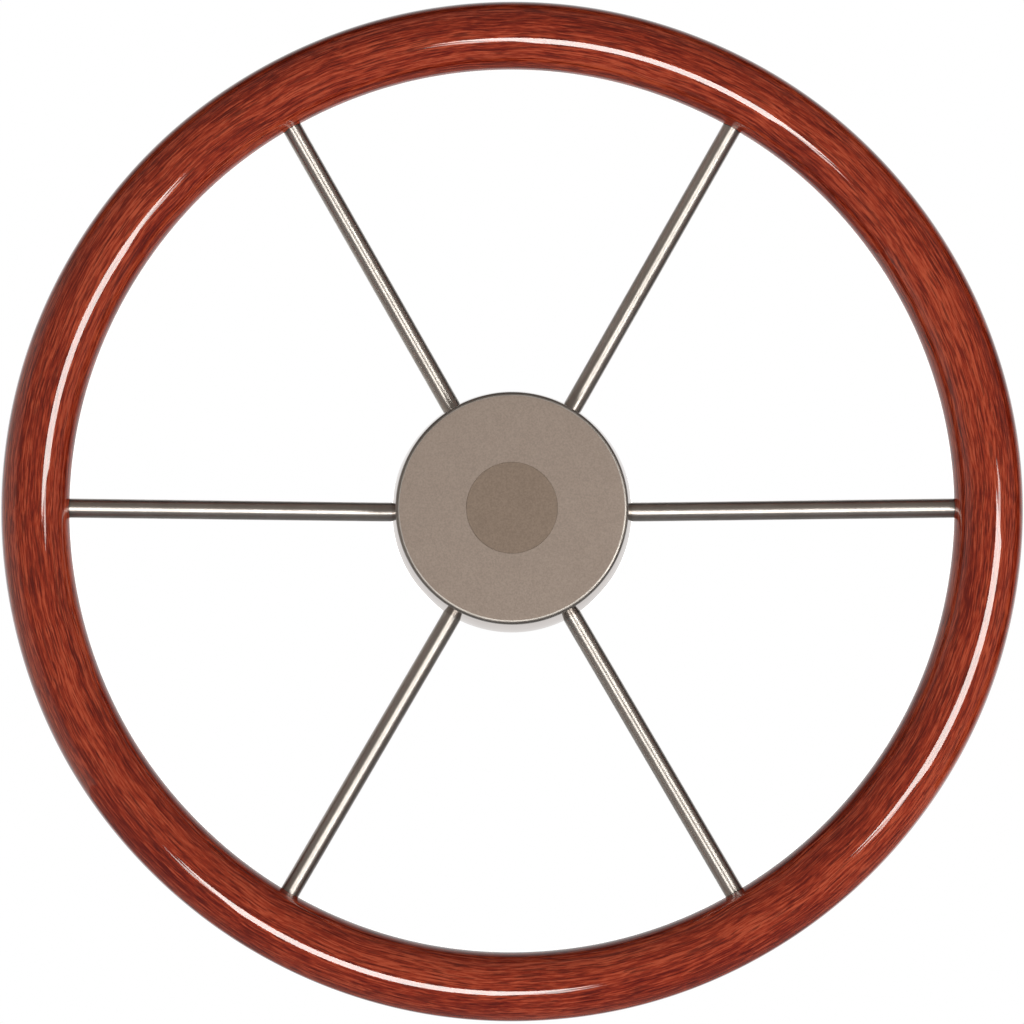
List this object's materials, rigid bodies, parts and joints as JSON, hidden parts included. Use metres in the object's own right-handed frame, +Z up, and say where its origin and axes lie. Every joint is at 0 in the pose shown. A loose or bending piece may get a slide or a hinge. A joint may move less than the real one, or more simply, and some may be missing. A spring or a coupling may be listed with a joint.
{
  "type": "boat steering wheel",
  "caption": "Round boat steering wheel: varnished wooden rim, slim bent steel spokes, turned boss with a tapered keyed bore, and a satin press-on hub cap.",
  "frame": {"origin": "on the wheel's axis in the rear face of the boss, where the shaft enters", "axes": "+Y along the axis towards the helm, so the front faces -Y; +Z up; one pair of spokes along X"},
  "size_m": [0.45, 0.0662, 0.4499],
  "materials": {
    "mahogany": "clear gloss varnish",
    "polished_steel": "mirror polished",
    "machined_steel": "turned",
    "cap_steel": "satin face, polished skirt",
    "disc_steel": "satin",
    "carrier_plastic": "matt",
    "ring_rubber": "matt",
    "screw_steel": "bright"
  },
  "bodies": {
    "root": {"rim": "mahogany", "spoke_1": "polished_steel", "spoke_2": "polished_steel", "spoke_3": "polished_steel", "spoke_4": "polished_steel", "spoke_5": "polished_steel", "spoke_6": "polished_steel", "boss": "machined_steel", "hub_cap": "cap_steel", "centre_disc": "disc_steel", "cap_carrier": "carrier_plastic", "grip_ring": "ring_rubber", "carrier_screws": "screw_steel"}
  },
  "joints": []
}
